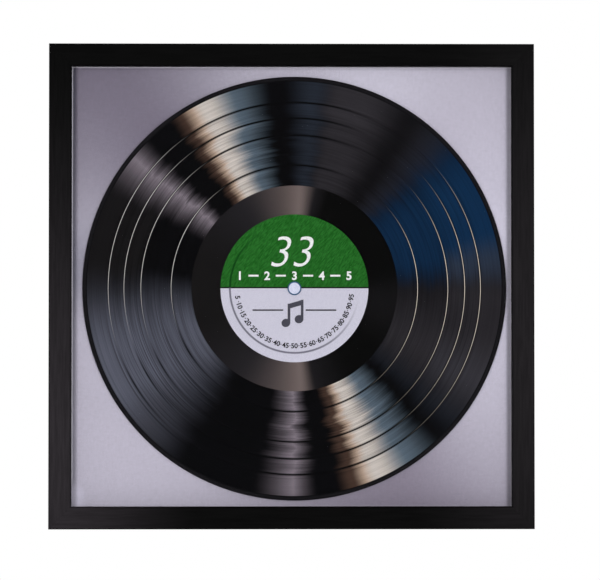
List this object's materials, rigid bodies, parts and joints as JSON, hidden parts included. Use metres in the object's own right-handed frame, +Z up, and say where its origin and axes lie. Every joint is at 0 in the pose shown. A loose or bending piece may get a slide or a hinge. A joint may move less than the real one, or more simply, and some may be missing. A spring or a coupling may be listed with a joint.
{
  "type": "vinyl record frame",
  "caption": "Square black wooden wall frame with glazing that shows a long-playing record pegged to a card, closed behind by a board and turn buttons.",
  "frame": {"origin": "the hanger's middle notch, in the plane of the wall, where the wall nail carries the frame", "axes": "+Z up the wall, +Y into the wall, +X to the right as seen from the front; the front faces -Y"},
  "size_m": [0.344, 0.0222, 0.344],
  "materials": {
    "black_wood": "satin black lacquer over wood, faint grain",
    "clear_glass": "clear float glass",
    "black_strip": "matt black strip",
    "vinyl": "glossy black pressed vinyl with fine grooves",
    "label_paper": "printed label paper",
    "pale_plastic": "smooth pale blue-grey plastic",
    "lilac_card": "matt lilac-grey card",
    "fibreboard": "raw brown fibreboard",
    "zinc_steel": "zinc-plated steel",
    "brass_plate": "brass-plated steel",
    "soft_vinyl": "matt soft rubber"
  },
  "bodies": {
    "frame": {"rail_bottom": "black_wood", "rail_right": "black_wood", "rail_top": "black_wood", "rail_left": "black_wood", "mitre_pin_bottom_left": "zinc_steel", "mitre_pin_bottom_right": "zinc_steel", "mitre_pin_top_left": "zinc_steel", "mitre_pin_top_right": "zinc_steel", "glazing": "clear_glass", "spacer_bottom": "black_strip", "spacer_right": "black_strip", "spacer_top": "black_strip", "spacer_left": "black_strip", "vinyl_record": "vinyl", "label_front": "label_paper", "label_back": "label_paper", "centre_peg": "pale_plastic", "mount_card": "lilac_card", "backing_board": "fibreboard", "button_screw_bottom_left": "zinc_steel", "button_screw_bottom_right": "zinc_steel", "button_screw_right_lower": "zinc_steel", "button_screw_right_upper": "zinc_steel", "button_screw_top_right": "zinc_steel", "button_screw_top_left": "zinc_steel", "button_screw_left_upper": "zinc_steel", "button_screw_left_lower": "zinc_steel", "hanger": "brass_plate", "hanger_nail_left": "brass_plate", "hanger_nail_right": "brass_plate", "bumper_left": "soft_vinyl", "bumper_right": "soft_vinyl"},
    "button_bottom_left": {"turn_button_bottom_left": "zinc_steel"},
    "button_bottom_right": {"turn_button_bottom_right": "zinc_steel"},
    "button_right_lower": {"turn_button_right_lower": "zinc_steel"},
    "button_right_upper": {"turn_button_right_upper": "zinc_steel"},
    "button_top_right": {"turn_button_top_right": "zinc_steel"},
    "button_top_left": {"turn_button_top_left": "zinc_steel"},
    "button_left_upper": {"turn_button_left_upper": "zinc_steel"},
    "button_left_lower": {"turn_button_left_lower": "zinc_steel"}
  },
  "joints": [
    {"name": "bottom_left_turn", "type": "hinge", "parent": "frame", "child": "button_bottom_left", "pos_m": [-0.086, -0.0037, -0.3289], "axis": [0, 1, 0], "continuous": true},
    {"name": "bottom_right_turn", "type": "hinge", "parent": "frame", "child": "button_bottom_right", "pos_m": [0.086, -0.0037, -0.3289], "axis": [0, 1, 0], "continuous": true},
    {"name": "right_lower_turn", "type": "hinge", "parent": "frame", "child": "button_right_lower", "pos_m": [0.166, -0.0037, -0.2489], "axis": [0, 1, 0], "continuous": true},
    {"name": "right_upper_turn", "type": "hinge", "parent": "frame", "child": "button_right_upper", "pos_m": [0.166, -0.0037, -0.0769], "axis": [0, 1, 0], "continuous": true},
    {"name": "top_right_turn", "type": "hinge", "parent": "frame", "child": "button_top_right", "pos_m": [0.086, -0.0037, 0.0031], "axis": [0, 1, 0], "continuous": true},
    {"name": "top_left_turn", "type": "hinge", "parent": "frame", "child": "button_top_left", "pos_m": [-0.086, -0.0037, 0.0031], "axis": [0, 1, 0], "continuous": true},
    {"name": "left_upper_turn", "type": "hinge", "parent": "frame", "child": "button_left_upper", "pos_m": [-0.166, -0.0037, -0.0769], "axis": [0, 1, 0], "continuous": true},
    {"name": "left_lower_turn", "type": "hinge", "parent": "frame", "child": "button_left_lower", "pos_m": [-0.166, -0.0037, -0.2489], "axis": [0, 1, 0], "continuous": true}
  ]
}
